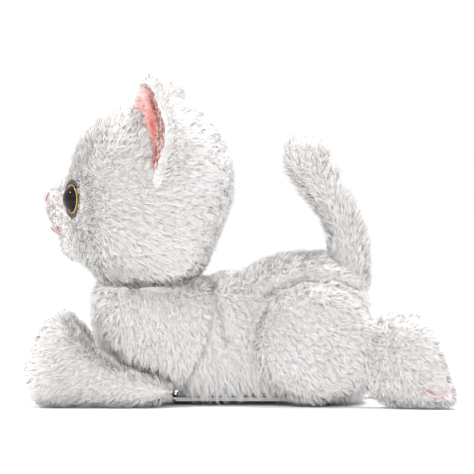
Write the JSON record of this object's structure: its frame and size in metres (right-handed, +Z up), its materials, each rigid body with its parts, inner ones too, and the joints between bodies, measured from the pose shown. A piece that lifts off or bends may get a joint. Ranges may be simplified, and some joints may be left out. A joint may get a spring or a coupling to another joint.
{
  "type": "interactive plush pet",
  "caption": "White plush kitten lying on its belly, with upright tail, pink ears and glossy eyes; motors inside turn and nod the head and wag the tail.",
  "frame": {"origin": "centre of the bounding box, at the resting surface", "axes": "+Z up, -Y the way the toy faces, +X its left side"},
  "size_m": [0.1682, 0.302, 0.2311],
  "materials": {
    "white_plush": "short dense pile",
    "pink_plush": "short pile",
    "pink_thread": "satin embroidery thread",
    "mouth_thread": "embroidery thread",
    "dark_felt": "felt",
    "black_gloss": "polished",
    "gold_rim": "metallic lacquer",
    "grey_plastic": "fine texture",
    "white_plastic": "fine texture",
    "black_plastic": "satin",
    "gear_plastic": "natural",
    "board_green": "solder mask",
    "cell_blue": "printed sleeve, unprinted here",
    "steel": "plated"
  },
  "bodies": {
    "torso": {"torso_plush": "white_plush", "chassis_lower": "grey_plastic", "chassis_upper": "grey_plastic", "neck_plate": "grey_plastic", "belly_bezel": "white_plastic", "bezel_screw_1": "steel", "bezel_screw_2": "steel", "cell_1": "cell_blue", "cell_2": "cell_blue", "cell_3": "cell_blue", "contact_front": "steel", "contact_rear": "steel", "circuit_board": "board_green", "processor_chip": "black_plastic", "wire_socket": "gear_plastic", "speaker": "black_plastic", "microphone": "steel", "switch_body": "black_plastic", "yaw_motor": "steel", "tail_motor": "steel"},
    "neck": {"neck_gear": "gear_plastic", "neck_post": "grey_plastic", "nod_motor": "steel"},
    "head": {"head_plush": "white_plush", "muzzle_plush": "white_plush", "nose": "pink_thread", "mouth_stitch": "mouth_thread", "ear_left": "white_plush", "ear_right": "white_plush", "ear_lining_left": "pink_plush", "ear_lining_right": "pink_plush", "eye_left": "black_gloss", "eye_right": "black_gloss", "eye_ring_left": "gold_rim", "eye_ring_right": "gold_rim", "eye_backing_left": "dark_felt", "eye_backing_right": "dark_felt", "skull_front": "grey_plastic", "skull_back": "grey_plastic", "nod_axle": "steel", "nod_sector": "gear_plastic"},
    "tail": {"tail_plush": "white_plush", "tail_armature": "steel", "tail_sector": "gear_plastic"},
    "front_leg_left": {"front_leg_left": "white_plush", "toe_stitch_left": "pink_thread"},
    "front_leg_right": {"front_leg_right": "white_plush", "toe_stitch_right": "pink_thread"},
    "hind_leg_left": {"hind_leg_left": "white_plush", "sole_stitch_left": "pink_thread"},
    "hind_leg_right": {"hind_leg_right": "white_plush", "sole_stitch_right": "pink_thread"},
    "battery_door": {"battery_door": "white_plastic", "door_screw": "steel"},
    "power_switch": {"power_switch": "black_plastic"},
    "back_button": {"back_button": "grey_plastic"},
    "head_button": {"head_button": "grey_plastic"},
    "yaw_pinion": {"yaw_pinion": "gear_plastic"},
    "nod_pinion": {"nod_pinion": "gear_plastic"},
    "tail_pinion": {"tail_pinion": "gear_plastic"}
  },
  "joints": [
    {"name": "head_turn", "type": "hinge", "parent": "torso", "child": "neck", "pos_m": [0, -0.062, 0.07], "axis": [0, 0, 1], "range_deg": [-21, 29]},
    {"name": "yaw_pinion_spin", "type": "hinge", "parent": "torso", "child": "yaw_pinion", "pos_m": [0, -0.032, 0.065], "axis": [0, 0, 1], "range_deg": [-87, 63]},
    {"name": "head_nod", "type": "hinge", "parent": "neck", "child": "head", "pos_m": [0, -0.062, 0.138], "axis": [0.9976, -0.0698, 0], "range_deg": [-10, 6]},
    {"name": "nod_pinion_spin", "type": "hinge", "parent": "neck", "child": "nod_pinion", "pos_m": [0, -0.062, 0.11175], "axis": [0.9976, -0.0698, 0], "range_deg": [-15, 25]},
    {"name": "tail_wag", "type": "hinge", "parent": "torso", "child": "tail", "pos_m": [0, 0.077, 0.086], "axis": [0, 1, 0], "range_deg": [-20, 20]},
    {"name": "tail_pinion_spin", "type": "hinge", "parent": "torso", "child": "tail_pinion", "pos_m": [0, 0.052, 0.0635], "axis": [0, 1, 0], "range_deg": [-40, 40]},
    {"name": "front_leg_left_swing", "type": "hinge", "parent": "torso", "child": "front_leg_left", "pos_m": [0.036, -0.05, 0.02], "axis": [0, 0, 1], "range_deg": [-6, 10]},
    {"name": "front_leg_right_swing", "type": "hinge", "parent": "torso", "child": "front_leg_right", "pos_m": [-0.036, -0.05, 0.02], "axis": [0, 0, 1], "range_deg": [-10, 6]},
    {"name": "hind_leg_left_lift", "type": "hinge", "parent": "torso", "child": "hind_leg_left", "pos_m": [0.05, 0.052, 0.043], "axis": [1, 0, 0], "range_deg": [0, 15]},
    {"name": "hind_leg_right_lift", "type": "hinge", "parent": "torso", "child": "hind_leg_right", "pos_m": [-0.05, 0.052, 0.043], "axis": [1, 0, 0], "range_deg": [0, 15]},
    {"name": "battery_door_open", "type": "hinge", "parent": "torso", "child": "battery_door", "pos_m": [0, 0.028, 0.003], "axis": [1, 0, 0], "range_deg": [0, 95]},
    {"name": "power_switch_slide", "type": "slide", "parent": "torso", "child": "power_switch", "axis": [0, 1, 0], "range_m": [0, 0.005]},
    {"name": "back_button_press", "type": "slide", "parent": "torso", "child": "back_button", "axis": [0, 0, -1], "range_m": [0, 0.002], "stiffness_N_per_m": 800, "springref_m": -0.0005},
    {"name": "head_button_press", "type": "slide", "parent": "head", "child": "head_button", "axis": [0, 0, -1], "range_m": [0, 0.002], "stiffness_N_per_m": 800, "springref_m": -0.0005}
  ],
  "couplings": [
    {"joint": "yaw_pinion_spin", "follows": "head_turn", "ratio": -3},
    {"joint": "nod_pinion_spin", "follows": "head_nod", "ratio": -2.5},
    {"joint": "tail_pinion_spin", "follows": "tail_wag", "ratio": -2}
  ]
}
